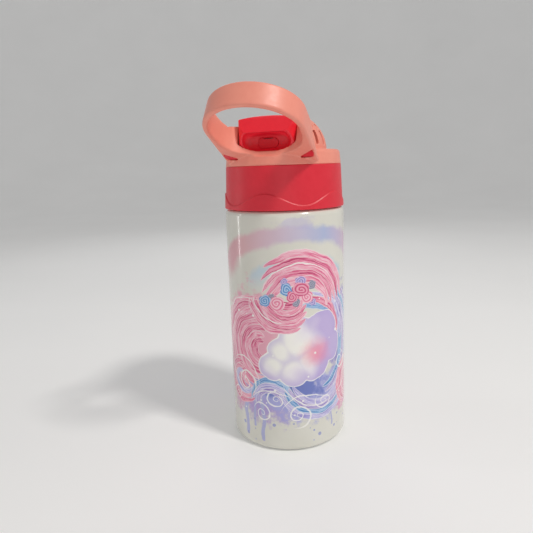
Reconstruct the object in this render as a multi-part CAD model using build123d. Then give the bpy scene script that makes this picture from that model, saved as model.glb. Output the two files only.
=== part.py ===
"""Kids water bottle: double-wall steel body, screw lid with a carry loop and a flip-up spout.

Millimetres, +Z up. The origin is the centre of the flat base. The carry loop leans towards -Y,
and the spout's hinge lies parallel to X near the back of the lid.
"""
from build123d import *
from math import cos, pi, radians, sin, sqrt
import os

# ---- steel body ------------------------------------------------------------------------------
body_radius = 34.0
body_height = 135.4          # base to the rim that the lid closes on
steel_wall = 0.6
foot_radius = 3.0            # rounding at the foot
rim_radius = 3.0             # rounding under the lid
foot_lift = 0.3              # the shell's foot stands this far above the base cover's face
foot_lip = 3.6               # width of the foot that is turned in under the body
vacuum_gap = 3.0             # between shell and liner
neck_step = 7.0              # body to neck
neck_root = 1.5              # rounding where the neck meets the shoulder
neck_height = 16.0           # rim to the bottle's lip
liner_floor = 6.0            # underside of the liner above the base
liner_corner = 7.0           # rounding between the liner's floor and wall
liner_bend = 3.0             # roundings of the liner's shoulder
liner_shoulder = 6.0         # the liner's wall bends in this far below the rim
liner_throat = 1.5           # and meets the neck this far below it
cover_thickness = 0.7
cover_gap = 0.1              # round the edge of the base cover
cover_flange = 0.8           # thickness of the cover's turned-up edge
cover_slope = 2.0            # width of the bevel round its face
base_height = 1.2            # underside of the welded base disc
seal_hole_radius = 1.5
bead_height = 1.0
bead_lap = 0.6               # the bead spreads this far past its hole
getter_radius = 4.0
getter_thickness = 1.4
getter_offset = 12.0
getter_gap = 0.1
cup_wall = 0.6
cup_floor = 0.3
foil_thickness = 0.15
foil_foot = 4.0              # above the liner's corner
foil_end = 14.0              # below the rim

# ---- neck thread -----------------------------------------------------------------------------
thread_lead = 6.0            # rise of the lid in one turn
thread_starts = 2
thread_turns = 0.9           # length of each ridge
ridge_height = 1.1
ridge_root = 1.5             # width of a ridge where it meets the wall
ridge_crest = 0.5
ridge_bite = 0.3             # a ridge's foot is buried this deep in the wall
thread_clearance = 0.25      # radial, ridge to wall
thread_bottom = 4.6          # lowest ridge on the neck, above the rim

# ---- lid shell and threaded insert -----------------------------------------------------------
skirt_height = 23.3
skirt_draft = 1.0            # the skirt narrows this much to its top
skirt_gap = 0.3              # skirt to the body's rim
insert_wall = 1.6
insert_foot = 1.2            # lower edge of the insert above the rim
bond_gap = 0.05              # between pieces that are welded or pressed together
insert_plate = 1.6
gasket_thickness = 1.5
gasket_width = 3.0
gasket_gap = 0.05            # gasket to the bottle's lip
gasket_edge_gap = 0.4        # gasket to the insert's wall
deck_height = 26.5           # floor under the spout, above the rim
deck_thickness = 1.8
deck_edge = 0.8
boss_wall = 2.0              # wall of the boss that carries the deck
collar_seat = 4.2            # width of the skirt's top that the collar sits on

# wavy band round the skirt's foot
wave_count = 5
wave_middle = 5.7            # above the rim
wave_height = 3.2            # half of crest to trough
wave_relief = 0.6
wave_root = 1.8              # the band reaches this far into the skirt
wave_phase = -20.2           # angle of one crest, from +X

# ---- carry loop, collar and hinge guard ------------------------------------------------------
loop_lean = 63.6             # from upright, towards the front
loop_front = 49.2            # centre of the loop's lower edge, ahead of the axis
loop_rise = 38.1             # and above the rim
loop_half_width = 21.9       # of the hole, across
loop_half_length = 20.9      # of the hole, front to back
loop_round = 0.5523             # handle share of a quarter ellipse, for the hole's front
loop_square = 0.75              # and of the squarer back of the hole
loop_wall = 2.9
loop_band = 12.5             # width of the band
loop_draft = 1.0             # the band narrows this much to its upper edge
loop_edge = 1.2              # rounding of the band's edges
leg_length = 36.0            # centre of the loop to the end of its legs
leg_top = (34.5, 62.0)       # back edge of each leg: how far ahead, and above the rim
leg_knee = (33.2, 44.0)
leg_bend = (31.0, 37.0)
leg_calf = (23.0, 29.0)
leg_heel = (16.0, 22.3)
collar_top = 31.0            # above the rim
collar_edge = 2.0
collar_draft = 0.8
collar_shelf = 7.0           # flat ring between the collar's edge and the guard
collar_lap = 4.0             # the collar runs in under the guard
guard_top = 52.5
guard_foot = 4.0             # the guard starts this far below the collar's top
guard_front = 15.0           # ahead of the axis
slot_width = 2.3
slot_pitch = 17.5            # degrees
slot_count = 14
slot_low = 33.6
slot_high = 41.0
slot_upper_low = 42.6
slot_upper_high = 44.6
cheek_thickness = 3.6        # walls beside the spout
cheek_top = 43.5
cheek_front = 35.0
lip_shelf = 1.4              # ledge behind the loop's lip, under the spout's front
window_angle = 37.0          # of each snap window, from the front
window_sink = 0.35           # the catch stops this far inside the moulding's face
window_reach = 9.8           # how far the red catch stands out of the boss
snap_post = 3.0              # thickness of the post under each catch
snap_bite = 0.3              # the catch is rooted this deep in the boss
post_lap = 1.0               # the post overlaps the deck and the catch
window_width = 6.0
window_height = 3.6
window_low = 26.9
snap_clearance = 0.15

# ---- spout -----------------------------------------------------------------------------------
spout_half_width = 15.2
spout_clearance = 0.4        # to the bay's walls
hinge_back = 6.0             # hinge axis behind the lid's axis
hinge_rise = 38.2
barrel_radius = 9.8
spout_front = 33.2           # brow, ahead of the axis
brow_rise = 40.0
brow_back = 2.6              # top of the brow behind its nose
brow_drop = 1.6              # and below the spout's top
crown_length = 2.6           # curve from the top down to the brow
nose_radius = 0.5
nose_depth = 0.3
barrel_drop = 1.0            # the barrel hangs this far below the spout's underside
spout_corner = 5.0           # upright corners at the front
spout_edge = 3.4             # along the top of both sides
spout_crown = 75.0           # radius of the top, seen from the front
face_rake = 4.6              # the front's lower edge is this far behind the brow
spout_wall = 2.0
part_line = 35.2             # joint between the spout's two shells
scoop_half_width = 12.8
scoop_radius = 5.2
scoop_corner = 4.2           # rounding of the scoop's two ends
scoop_rise = 34.6
scoop_reach = 0.8            # centre of the scoop behind the brow
scoop_wall = 1.2             # between the scoop and the hollow behind it
barrel_wall = 1.0            # between that hollow and the barrel
pin_radius = 1.5
pin_clearance = 0.05
pin_engagement = 6.5         # length of each pin inside the spout
pin_recess = 0.6             # pin end below the guard's surface
pin_end_gap = 0.3
channel_radius = 2.6
tube_wall = 1.4
tube_engagement = 4.0        # length of the tube in the barrel
tip_half_width = 5.4
tip_half_height = 2.5
tip_depth = 4.0
tip_skin = 1.6               # front of the tip that is cut by the slit
slit_length = 5.0
slit_width = 0.3
slit_drop = 1.6              # slit below the hinge's height
detent_radius = 0.9
detent_height = 0.25
detent_ahead = 33.0          # of the hinge
detent_below = 1.4           # the cheeks' top

# ---- port, straw and vent --------------------------------------------------------------------
port_seal_radius = 5.2
port_seal_step = 1.6         # depth of its seat in the deck
port_seal_gap = 0.12         # to the barrel
socket_wall = 1.6
socket_depth = 12.0          # below the insert's plate
socket_flange = 2.0
flange_thickness = 1.4
socket_stop = 3.0            # the straw's end stops this far below the plate
socket_seal_width = 2.4
socket_seal_thickness = 1.2
relief_margin = 1.2          # spout's notch round the port seal
relief_ahead = 3.0
relief_top = 32.0
relief_wall = 1.2              # between the relief and the hollow above it
straw_radius = 3.4
straw_wall = 0.7
straw_foot_gap = 9.0         # straw's end above the liner's floor
straw_cut = 35.0             # slant of the straw's end
vent_ahead = 14.0
vent_side = 9.0
vent_radius = 1.3
vent_disc_radius = 4.0
vent_disc_thickness = 0.8
vent_lip = 0.6
vent_head = 1.0
cap_vent_radius = 3.2
cap_vent_rise = 0.4
vent_hole_count = 5
vent_hole_radius = 0.4
vent_hole_ring = 1.8
far = 60.0                   # reach of tools that cut right through

rim = body_height
neck_radius = body_radius - neck_step
skirt_foot_radius = body_radius - wave_relief
skirt_top_radius = skirt_foot_radius - skirt_draft
collar_top_radius = skirt_top_radius - collar_draft
guard_radius = collar_top_radius - collar_shelf
spigot_radius = skirt_top_radius - collar_seat       # red boss that the collar fits over
liner_radius = body_radius - steel_wall - vacuum_gap
neck_bore = neck_radius - steel_wall
lip = rim + neck_height
plate_low = lip + gasket_thickness + gasket_gap
plate_top = plate_low + insert_plate
insert_bore = neck_radius + ridge_height + thread_clearance
insert_radius = insert_bore + insert_wall
hinge_z = rim + hinge_rise
spout_underside = hinge_rise - barrel_radius + barrel_drop
deck_z = rim + deck_height
bay_half_width = spout_half_width + spout_clearance
loop_axis = Vector(0, cos(radians(loop_lean)), sin(radians(loop_lean)))


def turned(*corners):
    """Solid of revolution round Z. A corner is (radius, height) or (radius, height, rounding)."""
    places = [(c[0], c[1]) for c in corners]
    roundings = [c[2] if len(c) > 2 else 0 for c in corners]
    outline = FilletPolyline(*places, radius=roundings, close=True)
    return revolve(Plane.XZ * make_face(outline), axis=Axis.Z)


def cylinder(radius, low, high, x=0.0, y=0.0):
    """Upright cylinder between two heights."""
    return Pos(x, y, (low + high) / 2) * Cylinder(radius, high - low)


def cross_cylinder(radius, x_start, x_end, y, z):
    """Cylinder parallel to X."""
    middle = Pos((x_start + x_end) / 2, y, z)
    return middle * Rot(0, 90, 0) * Cylinder(radius, abs(x_end - x_start))


def block(x_low, x_high, y_low, y_high, z_low, z_high):
    """Box between two corners."""
    centre = Pos((x_low + x_high) / 2, (y_low + y_high) / 2, (z_low + z_high) / 2)
    return centre * Box(x_high - x_low, y_high - y_low, z_high - z_low)


def side_prism(outline, half_width):
    """Outline in the YZ plane, extruded to both sides of the middle."""
    return extrude(Plane.YZ * make_face(outline), amount=half_width, both=True)


def ridge(radius, outward, bottom, start_angle):
    """One thread ridge: a trapezium swept along a helix, its foot buried in the wall."""
    path = Helix(thread_lead, thread_lead * thread_turns, radius)
    buried = radius - outward * ridge_bite
    crest = radius + outward * ridge_height
    section = Polyline(
        (buried, -ridge_root / 2),
        (crest, -ridge_crest / 2),
        (crest, ridge_crest / 2),
        (buried, ridge_root / 2),
        close=True,
    )
    profile = Plane.XZ * make_face(section)
    return Pos(0, 0, bottom) * Rot(0, 0, start_angle) * sweep(profile, path=path, is_frenet=True)


def threaded(wall, radius, outward, bottom):
    """A wall with its thread ridges fused on."""
    for start in range(thread_starts):
        wall += ridge(radius, outward, bottom, start * 360 / thread_starts)
    return wall


# ---- body ------------------------------------------------------------------------------------

def make_outer_shell():
    wall = turned(
        (body_radius - foot_lip, foot_lift),
        (body_radius, foot_lift, foot_radius),
        (body_radius, rim, rim_radius),
        (neck_radius, rim, neck_root),
        (neck_radius, lip),
        (neck_bore, lip),
        (neck_bore, rim - steel_wall, neck_root + steel_wall),
        (body_radius - steel_wall, rim - steel_wall, rim_radius - steel_wall),
        (body_radius - steel_wall, foot_lift + steel_wall, foot_radius - steel_wall),
        (body_radius - foot_lip, foot_lift + steel_wall),
    )
    return threaded(wall, neck_radius, 1, rim + thread_bottom)


def make_inner_liner():
    inside = liner_radius - steel_wall
    bend = rim - liner_shoulder
    throat = rim - liner_throat
    return turned(
        (0, liner_floor),
        (liner_radius, liner_floor, liner_corner),
        (liner_radius, bend, liner_bend),
        (neck_bore, throat, liner_bend),
        (neck_bore, lip),
        (neck_bore - steel_wall, lip),
        (neck_bore - steel_wall, throat - steel_wall, liner_bend),
        (inside, bend - steel_wall, liner_bend),
        (inside, liner_floor + steel_wall, liner_corner - steel_wall),
        (0, liner_floor + steel_wall),
    )


def make_radiation_foil():
    outside = liner_radius + foil_thickness
    low = liner_floor + liner_corner + foil_foot
    high = rim - foil_end
    return cylinder(outside, low, high) - cylinder(liner_radius, low, high)


def make_outer_base():
    disc = cylinder(body_radius - foot_lip, base_height, base_height + steel_wall)
    return disc - cylinder(seal_hole_radius, 0, base_height + 2 * steel_wall)


def make_sealing_bead():
    top = base_height + steel_wall
    dome = Pos(0, 0, top) * Sphere(seal_hole_radius + bead_lap)
    above = cylinder(2 * seal_hole_radius, top, top + bead_height)
    plug = cylinder(seal_hole_radius, base_height, top)
    return plug + (dome & above)


def make_base_cover():
    edge = body_radius - foot_lip - cover_gap
    return turned(
        (0, 0),
        (edge - cover_slope, 0),
        (edge, foot_lift),
        (edge, base_height - bond_gap),
        (edge - cover_flange, base_height - bond_gap),
        (edge - cover_flange, cover_thickness),
        (0, cover_thickness),
    )


def make_getter_cup():
    low = base_height + steel_wall
    high = low + getter_thickness + cup_wall
    outside = cylinder(getter_radius + cup_wall, low, high, x=getter_offset)
    inside = cylinder(getter_radius + getter_gap, low + cup_floor, high + 1, x=getter_offset)
    return outside - inside


def make_getter():
    low = base_height + steel_wall + cup_floor
    return cylinder(getter_radius, low, low + getter_thickness, x=getter_offset)


# ---- lid -------------------------------------------------------------------------------------

def make_cap_gasket():
    low = lip + gasket_gap
    inner = neck_radius - gasket_width
    outer = insert_bore - gasket_edge_gap
    return cylinder(outer, low, plate_low) - cylinder(inner, low, plate_low)


def make_cap_insert():
    low = rim + insert_foot
    cup = cylinder(insert_radius, low, plate_top) - cylinder(insert_bore, low, plate_low)
    cup = threaded(cup, insert_bore, -1, rim + thread_bottom + thread_lead / thread_starts / 2)
    cup -= cylinder(socket_radius() + bond_gap, plate_low - 1, plate_top + 1, y=hinge_back)
    cup -= cylinder(vent_radius + bond_gap, plate_low - 1, plate_top + 1, *vent_place())
    return cup


def socket_radius():
    return straw_radius + bond_gap + socket_wall


def vent_place():
    return vent_side, -vent_ahead


def wave_line(radius):
    """Closed wavy line round the axis at the top of the skirt's raised band."""
    steps = 16 * wave_count
    angles = [2 * pi * i / steps for i in range(steps)]
    phase = radians(wave_phase)
    places = [
        (
            radius * cos(a),
            radius * sin(a),
            rim + wave_middle + wave_height * cos(wave_count * (a - phase)),
        )
        for a in angles
    ]
    return Edge.make_spline(places, periodic=True)


def make_wave_band():
    """Raised band round the skirt's foot, its upper edge a wave."""
    top = rim + wave_middle + wave_height + 2
    outer = skirt_foot_radius + wave_relief
    ring = cylinder(outer, rim + skirt_gap, top) - cylinder(outer - wave_root, 0, top)
    above = Face.make_surface_from_curves(wave_line(outer - 4), wave_line(outer + 4))
    return ring - extrude(above, amount=3 * wave_height + 4, dir=(0, 0, 1))


def snap_wedge(side, grow, reach):
    """Triangular prism that points outwards, on a post: a snap window, or the catch in it."""
    half = window_width / 2 + grow
    low = window_low - grow
    outline = Polyline((-half, low), (half, low), (0, low + window_height + 2 * grow), close=True)
    start = spigot_radius - snap_bite - grow
    prism = extrude(Plane.XZ.offset(start) * make_face(outline), amount=reach - start)
    front = -spigot_radius - grow
    back = -spigot_radius + snap_post + grow
    prism += block(-half, half, front, back, deck_height - post_lap, window_low + post_lap + grow)
    return Pos(0, 0, rim) * Rot(0, 0, side * window_angle) * prism


def above_loop_plane(margin):
    """Half-space above the plane of the loop's lower edge."""
    origin = Vector(0, -loop_front, rim + loop_rise) + loop_axis * margin
    plane = Plane(origin, x_dir=(1, 0, 0), z_dir=loop_axis)
    return extrude(plane * Rectangle(200, 200), amount=100)


def make_cap_shell():
    """Red lid: drafted skirt, deck under the spout, and the snap catches for the handle."""
    inner = insert_radius + bond_gap
    shell = turned(
        (skirt_foot_radius, rim + skirt_gap),
        (skirt_top_radius, rim + skirt_height),
        (spigot_radius, rim + skirt_height),
        (spigot_radius, deck_z, deck_edge),
        (0, deck_z),
        (0, deck_z - deck_thickness),
        (spigot_radius - boss_wall, deck_z - deck_thickness),
        (spigot_radius - boss_wall, plate_top + bond_gap),
        (inner, plate_top + bond_gap),
        (inner, rim + skirt_gap),
    )
    shell += make_wave_band()
    for side in (-1, 1):
        catch = snap_wedge(side, 0, spigot_radius + window_reach)
        shell += catch & above_loop_plane(window_sink)
    shell -= cylinder(port_seal_radius + bond_gap, deck_z - port_seal_step, deck_z + 1, y=hinge_back)
    shell -= cylinder(socket_radius() + bond_gap, plate_top, deck_z, y=hinge_back)
    shell -= cylinder(cap_vent_radius + bond_gap, plate_top + 1, deck_z + 1, *vent_place())
    return shell


def loop_plane(along=0.0):
    """Plane of the loop, this far along the band from its lower edge; local +Y runs back."""
    origin = Vector(0, -loop_front, rim + loop_rise) + loop_axis * along
    return Plane(origin, x_dir=(1, 0, 0), z_dir=loop_axis)


def loop_outline(shrink):
    """Outside of the loop: an ellipse in front, straight legs behind."""
    half_width = loop_half_width + loop_wall - shrink
    half_length = loop_half_length + loop_wall - shrink
    legs = Pos(0, leg_length / 2) * Rectangle(2 * half_width, leg_length)
    return Ellipse(half_width, half_length) + legs


def hole_outline(shrink):
    """Outline of the loop's hole: an ellipse in front, squarer behind to clear the spout's face."""
    width = loop_half_width - shrink
    length = loop_half_length - shrink
    outline = []
    for end, share in ((-length, loop_round), (length, loop_square)):
        for side in (-width, width):
            outline.append(Bezier((side, 0), (side, share * end), (share * side, end), (0, end)))
    return make_face(outline)


def make_loop():
    outside = loft([loop_plane() * loop_outline(0), loop_plane(loop_band) * loop_outline(loop_draft)])
    hole = loft([loop_plane(-1) * hole_outline(0), loop_plane(1.5 * loop_band) * hole_outline(loop_draft)])
    loop = outside - hole
    ends = [e for e in loop.edges() if e.center().Y < -loop_front + 2 * loop_edge]
    lower = [e for e in ends if on_loop_face(e)]
    return fillet(lower, loop_edge), hole


def on_loop_face(edge):
    """Whether an edge lies in one of the band's two end faces."""
    along = (edge.center() - Vector(0, -loop_front, rim + loop_rise)).dot(loop_axis)
    return abs(along) < 0.01 or abs(along - loop_band) < 0.01


def make_leg_trim():
    """What is cut away behind each leg, outside the cheeks."""
    edge = [(-ahead, rim + rise) for ahead, rise in (leg_top, leg_knee, leg_bend, leg_calf, leg_heel)]
    back = [(body_radius, rim + leg_heel[1]), (body_radius, rim + leg_top[1])]
    outline = FilletPolyline(*edge, *back, radius=[0, 12, 8, 6, 0, 0, 0], close=True)
    trim = side_prism(outline, body_radius)
    middle = bay_half_width + cheek_thickness
    return trim - block(-middle, middle, -far, far, rim, rim + far + 20)


def guard_half_width(height):
    """Radius of the domed guard at a height above the rim."""
    share = (height - collar_top) / (guard_top - collar_top)
    return guard_radius * sqrt(max(0.0, 1 - share * share))


def make_guard():
    """Dome round the hinge: a quarter ellipse turned about the lid's axis."""
    rise = guard_top - collar_top
    right = Pos(guard_radius / 2, rise / 2) * Rectangle(guard_radius, rise)
    quarter = Ellipse(guard_radius, rise) & right
    dome = Pos(0, 0, rim + collar_top) * revolve(Plane.XZ * quarter, axis=Axis.Z)
    dome += cylinder(guard_radius, rim + collar_top - guard_foot, rim + collar_top)
    return dome - block(-far, far, -far, -guard_front, rim + collar_top, rim + far)


def make_slots():
    """Two rows of slots, fanned round the back of the guard."""
    first = 90 + (slot_count - 1) * slot_pitch / 2
    slots = []
    for i in range(slot_count):
        angle = first - i * slot_pitch
        for low, high in ((slot_low, slot_high), (slot_upper_low, slot_upper_high)):
            middle = Pos(guard_radius, 0, rim + (low + high) / 2)
            slot = Box(1.2 * guard_radius, slot_width, high - low)
            slots.append(Rot(0, 0, angle) * middle * slot)
    return slots


def make_bay():
    """Room for the spout to lie in and to swing up from; its front leans as the spout's does."""
    back = hinge_back + barrel_radius + spout_clearance
    front = -spout_front - spout_clearance
    floor = rim + spout_underside - spout_clearance
    top = rim + far
    outline = Polyline(
        (front, top),
        (front, rim + brow_rise),
        (front + face_rake, floor),
        (back, floor),
        (back, top),
        close=True,
    )
    pit = block(-bay_half_width, bay_half_width, front + face_rake + lip_shelf, back, deck_z, top)
    return side_prism(outline, bay_half_width) + pit


def make_handle_collar():
    """Salmon moulding: collar ring, leaning loop on two legs, cheeks and hinge guard."""
    loop, hole = make_loop()
    collar = turned(
        (spigot_radius + snap_clearance, rim + skirt_height),
        (skirt_top_radius, rim + skirt_height),
        (collar_top_radius, rim + collar_top, collar_edge),
        (guard_radius - collar_lap, rim + collar_top),
        (guard_radius - collar_lap, deck_z + snap_clearance),
        (spigot_radius + snap_clearance, deck_z + snap_clearance),
    )
    cheek_out = bay_half_width + cheek_thickness
    low = rim + collar_top - guard_foot
    cheeks = block(-cheek_out, cheek_out, -cheek_front, 0, low, rim + cheek_top)
    cheeks &= above_loop_plane(0)
    body = (loop - make_leg_trim()) + collar + make_guard() + cheeks
    body -= hole
    body -= make_bay()
    body -= cylinder(spigot_radius + snap_clearance, rim, deck_z + snap_clearance)
    body -= cylinder(body_radius + 10, rim, rim + skirt_height)
    for slot in make_slots():
        body -= slot
    for side in (-1, 1):
        body -= snap_wedge(side, snap_clearance, spigot_radius + 2 * window_reach)
        inner = side * spout_half_width
        body -= cross_cylinder(pin_radius, inner, side * guard_radius, hinge_back, hinge_z)
    return body


def make_hinge_pins():
    """Two stub pins, pressed into the guard's cheeks."""
    outer = sqrt(guard_half_width(hinge_rise) ** 2 - hinge_back ** 2) - pin_recess
    inner = spout_half_width - pin_engagement
    return [cross_cylinder(pin_radius, s * inner, s * outer, hinge_back, hinge_z) for s in (-1, 1)]


# ---- spout -----------------------------------------------------------------------------------

def spout_outline():
    """Side view of the closed spout: sloping brow in front, barrel round the hinge behind."""
    front = -spout_front
    barrel_top = hinge_z + barrel_radius
    underside = rim + spout_underside
    crown_start = (front + brow_back + crown_length, barrel_top)
    crown_middle = (front + brow_back + 0.4 * crown_length, barrel_top - 0.25 * brow_drop)
    crown_end = (front + brow_back, barrel_top - brow_drop)
    nose_start = (front + nose_depth, rim + brow_rise + nose_radius)
    nose_end = (front + nose_depth, rim + brow_rise - nose_radius)
    chin = (front + face_rake, underside)
    foot = (barrel_foot(), underside)
    edges = [
        Line((hinge_back, barrel_top), crown_start),
        ThreePointArc(crown_start, crown_middle, crown_end),
        Line(crown_end, nose_start),
        ThreePointArc(nose_start, (front, rim + brow_rise), nose_end),
        Line(nose_end, chin),
        Line(chin, foot),
        ThreePointArc(foot, (hinge_back + barrel_radius, hinge_z), (hinge_back, barrel_top)),
    ]
    return Wire([e.edge() for e in edges])


def barrel_foot():
    """Where the flat underside meets the barrel."""
    depth = hinge_rise - spout_underside
    return hinge_back - sqrt(barrel_radius ** 2 - depth ** 2)


def make_spout_body():
    """Outside of the closed spout as one solid."""
    solid = side_prism(spout_outline(), spout_half_width)
    plan = Rectangle(2 * spout_half_width, 2 * far)
    plan = Pos(0, -spout_front + far) * fillet(plan.vertices(), spout_corner)
    solid &= Pos(0, 0, rim) * extrude(plan, amount=far)
    end_view = Pos(0, hinge_z + barrel_radius - far) * Rectangle(2 * spout_half_width, 2 * far)
    end_view = fillet(end_view.vertices(), spout_edge)
    end_view &= Pos(0, hinge_z + barrel_radius - spout_crown) * Circle(spout_crown)
    return solid & extrude(Plane.XZ * end_view, amount=far, both=True)


def make_scoop():
    """Hollow under the brow for a fingertip."""
    half = FilletPolyline(
        (-scoop_half_width, 0),
        (-scoop_half_width, scoop_radius),
        (scoop_half_width, scoop_radius),
        (scoop_half_width, 0),
        radius=[0, scoop_corner, scoop_corner, 0],
        close=True,
    )
    solid = revolve(make_face(half), axis=Axis.X)
    return Pos(0, scoop_reach - spout_front, rim + scoop_rise) * solid


def make_spout_cavity():
    """Inside of the two shells, ahead of the solid barrel and of the relief's own walls."""
    barrel_top = hinge_z + barrel_radius
    half = port_seal_radius + relief_margin + relief_wall
    front = hinge_back - barrel_radius - relief_ahead - relief_wall
    cavity = block(
        -spout_half_width + spout_wall,
        spout_half_width - spout_wall,
        -spout_front + spout_wall + scoop_radius + scoop_wall,
        hinge_back - barrel_radius + barrel_wall,
        rim + spout_underside + spout_wall,
        barrel_top - spout_wall,
    )
    return cavity - block(-half, half, front, hinge_back, rim, rim + relief_top + relief_wall)


def channel(radius, y_low, y_high):
    """Round passage along the closed spout, at the height of the hinge."""
    return Pos(0, (y_low + y_high) / 2, hinge_z) * Rot(90, 0, 0) * Cylinder(radius, y_high - y_low)


def make_tip(grow):
    """Rounded bar that the soft tip fills, behind the scoop."""
    half_width = tip_half_width + grow
    half_height = tip_half_height + grow
    size = RectangleRounded(2 * half_width, 2 * half_height, half_height - 0.01)
    start = Plane.XZ.offset(spout_front + 2)
    depth = 2 + scoop_radius + tip_depth
    return extrude(start * Pos(0, rim + scoop_rise) * size, amount=-depth)


def tube_ends():
    """Front and back of the tube inside the spout."""
    front = -spout_front + scoop_radius + tip_depth
    return front, hinge_back - barrel_radius + tube_engagement


def make_spout_hollows():
    front, back = tube_ends()
    return [
        make_scoop(),
        make_spout_cavity(),
        make_tip(bond_gap),
        channel(channel_radius + tube_wall + bond_gap, front - bond_gap, back + bond_gap),
        channel(channel_radius, back, hinge_back + 2 * barrel_radius),
    ]


def make_underside_relief():
    """Room under the spout for the front of the port seal."""
    half = port_seal_radius + relief_margin
    front = hinge_back - barrel_radius - relief_ahead
    notch = block(-half, half, front, hinge_back, rim, rim + relief_top)
    return notch - cross_cylinder(barrel_radius, -half, half, hinge_back, hinge_z)


def spout_half(upper):
    """Upper or lower shell of the spout, hollowed."""
    low = rim + part_line if upper else rim
    high = rim + far if upper else rim + part_line
    shell = make_spout_body() & block(-far, far, -far, far, low, high)
    for hollow in make_spout_hollows():
        shell -= hollow
    shell -= make_underside_relief()
    for side in (-1, 1):
        inner = side * (spout_half_width - pin_engagement - pin_end_gap)
        shell -= cross_cylinder(pin_radius + pin_clearance, inner, side * far, hinge_back, hinge_z)
    return shell


def make_spout_shell():
    shell = spout_half(True)
    length = detent_height + spout_wall / 2
    for side in (-1, 1):
        middle = side * (spout_half_width + detent_height - length / 2)
        height = rim + cheek_top - detent_below - detent_radius
        place = Pos(middle, hinge_back - detent_ahead, height)
        shell += place * Rot(0, side * 90, 0) * Cone(2 * detent_radius, detent_radius, length)
    return shell


def make_spout_base():
    return spout_half(False)


def make_spout_tube():
    front, back = tube_ends()
    tube = channel(channel_radius + tube_wall, front, back)
    return tube - channel(channel_radius, front - 1, back + 1)


def make_mouthpiece():
    """Soft tip: it carries on the scoop's hollow and opens through a slit."""
    front, _ = tube_ends()
    tip = make_tip(0) & block(-far, far, -far, front - bond_gap, rim, rim + far)
    tip -= make_scoop()
    tip &= make_spout_body()
    slit = hinge_z - slit_drop
    tip -= block(-slit_length / 2, slit_length / 2, -far, 0, slit, slit + slit_width)
    return tip - channel(channel_radius, front - tip_depth + tip_skin, front + 1)


# ---- port, straw and vents -------------------------------------------------------------------

def make_port_seal():
    low = deck_z - port_seal_step
    ring = cylinder(port_seal_radius, low, hinge_z, y=hinge_back)
    ring -= cylinder(channel_radius, low - 1, hinge_z + 1, y=hinge_back)
    return ring - cross_cylinder(barrel_radius + port_seal_gap, -far, far, hinge_back, hinge_z)


def make_straw_socket():
    high = deck_z - port_seal_step
    low = plate_low - socket_depth
    bore = straw_radius - straw_wall
    socket = cylinder(socket_radius(), low, high, y=hinge_back)
    flange = socket_radius() + socket_flange
    socket += cylinder(flange, plate_low - flange_thickness, plate_low, y=hinge_back)
    socket -= cylinder(bore, low - 1, high + 1, y=hinge_back)
    return socket - cylinder(straw_radius + bond_gap, low - 1, plate_low - socket_stop, y=hinge_back)


def make_socket_seal():
    """Soft ring under the deck, round the socket."""
    high = plate_top + socket_seal_thickness
    ring = cylinder(socket_radius() + socket_seal_width, plate_top, high, y=hinge_back)
    return ring - cylinder(socket_radius(), plate_top - 1, high + 1, y=hinge_back)


def make_straw():
    low = liner_floor + steel_wall + straw_foot_gap
    high = plate_low - socket_stop
    bore = straw_radius - straw_wall
    tube = cylinder(straw_radius, low, high, y=hinge_back)
    tube -= cylinder(bore, low - 1, high + 1, y=hinge_back)
    mouth = Box(6 * straw_radius, 3.6 * straw_radius, 1.5 * straw_radius)
    return tube - Pos(0, hinge_back - straw_radius, low) * Rot(straw_cut, 0, 0) * mouth


def make_vent_valve():
    """Umbrella valve hung in the insert's plate."""
    x, y = vent_place()
    low = plate_low - vent_disc_thickness
    disc = cylinder(vent_disc_radius, low, plate_low, x, y)
    stem = cylinder(vent_radius, plate_low, plate_top, x, y)
    head = cylinder(vent_radius + vent_lip, plate_top, plate_top + vent_head, x, y)
    return disc + stem + head


def make_vent_cap():
    """Plug with five small holes, pressed into the deck."""
    x, y = vent_place()
    plug = cylinder(cap_vent_radius, deck_z - deck_thickness, deck_z + cap_vent_rise, x, y)
    for i in range(vent_hole_count):
        angle = 2 * pi * i / vent_hole_count
        across = x + vent_hole_ring * cos(angle)
        along = y + vent_hole_ring * sin(angle)
        plug -= cylinder(vent_hole_radius, deck_z - far, deck_z + far, across, along)
    return plug


makers = {
    "outer_shell": make_outer_shell,
    "inner_liner": make_inner_liner,
    "radiation_foil": make_radiation_foil,
    "outer_base": make_outer_base,
    "base_cover": make_base_cover,
    "sealing_bead": make_sealing_bead,
    "getter_cup": make_getter_cup,
    "getter": make_getter,
    "cap_gasket": make_cap_gasket,
    "cap_insert": make_cap_insert,
    "cap_shell": make_cap_shell,
    "handle_collar": make_handle_collar,
    "hinge_pins": make_hinge_pins,
    "spout_shell": make_spout_shell,
    "spout_base": make_spout_base,
    "spout_tube": make_spout_tube,
    "mouthpiece": make_mouthpiece,
    "port_seal": make_port_seal,
    "straw_socket": make_straw_socket,
    "socket_seal": make_socket_seal,
    "straw": make_straw,
    "vent_valve": make_vent_valve,
    "vent_cap": make_vent_cap,
}

os.makedirs("parts", exist_ok=True)
for name, make in makers.items():
    made = make()
    piece = Compound(children=made) if isinstance(made, list) else made
    export_step(piece, f"parts/{name}.step")
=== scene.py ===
import bmesh
import bpy
from math import atan2, cos, pi, radians, sin
from mathutils import Matrix, Vector


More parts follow.
